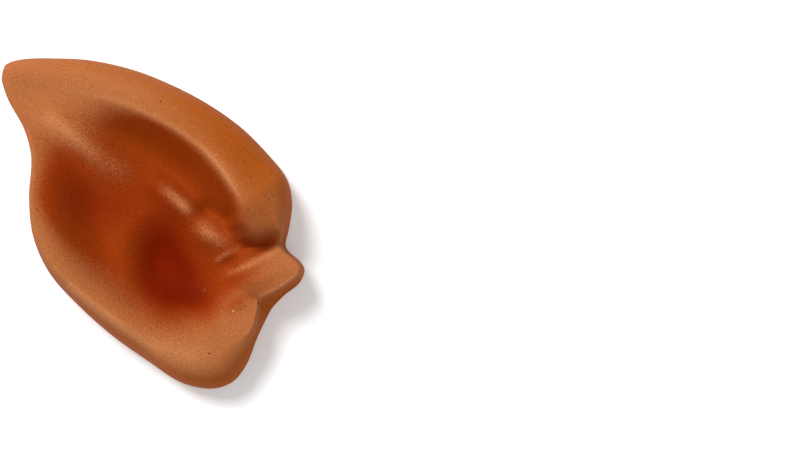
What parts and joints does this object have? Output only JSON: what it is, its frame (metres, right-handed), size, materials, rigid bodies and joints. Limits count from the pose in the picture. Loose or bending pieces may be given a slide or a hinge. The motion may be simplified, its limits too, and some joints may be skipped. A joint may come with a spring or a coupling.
{
  "type": "elf ear",
  "caption": "Hollow latex ear with a pointed tip swept back and up, painted skin tan with red-brown hollows, worn over the wearer's right ear as a costume piece.",
  "frame": {"origin": "on the ground, under the middle of the ear's bounding box", "axes": "+Z out of the ear's face, away from the head; +Y towards the top of the ear; +X towards the wearer's cheek, the side of the tragus"},
  "size_m": [0.096, 0.105, 0.0277],
  "materials": {
    "latex": "satin, painted tan with red-brown hollows"
  },
  "bodies": {
    "root": {"ear_shell": "latex"}
  },
  "joints": []
}
